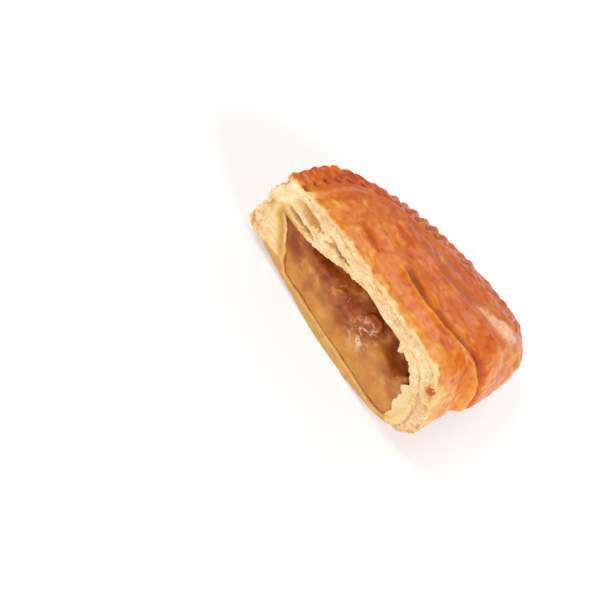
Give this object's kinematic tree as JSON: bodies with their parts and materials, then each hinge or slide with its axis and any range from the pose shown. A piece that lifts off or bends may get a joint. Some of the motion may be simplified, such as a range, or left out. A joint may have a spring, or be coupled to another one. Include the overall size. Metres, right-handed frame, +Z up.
{
  "type": "turnover pastry",
  "caption": "Half of a baked puff pastry turnover, cut across, with a glazed slit top, a fork-crimped edge and a lumpy apple filling in the cut.",
  "frame": {"origin": "on the table under the middle of the half pastry: the centre of the underside of its bounding box", "axes": "+X along the cut face from the sealed end to the folded end, +Y from the cut face to the crimped back edge, +Z up from the tray side to the glazed top"},
  "size_m": [0.103, 0.07, 0.0422],
  "materials": {
    "baked_pastry": "baked puff pastry, egg-glazed on top, pale and crumbly at the cut",
    "apple_compote": "wet and glossy, translucent"
  },
  "bodies": {
    "root": {"pastry_crust": "baked_pastry", "apple_filling": "apple_compote"}
  },
  "joints": []
}
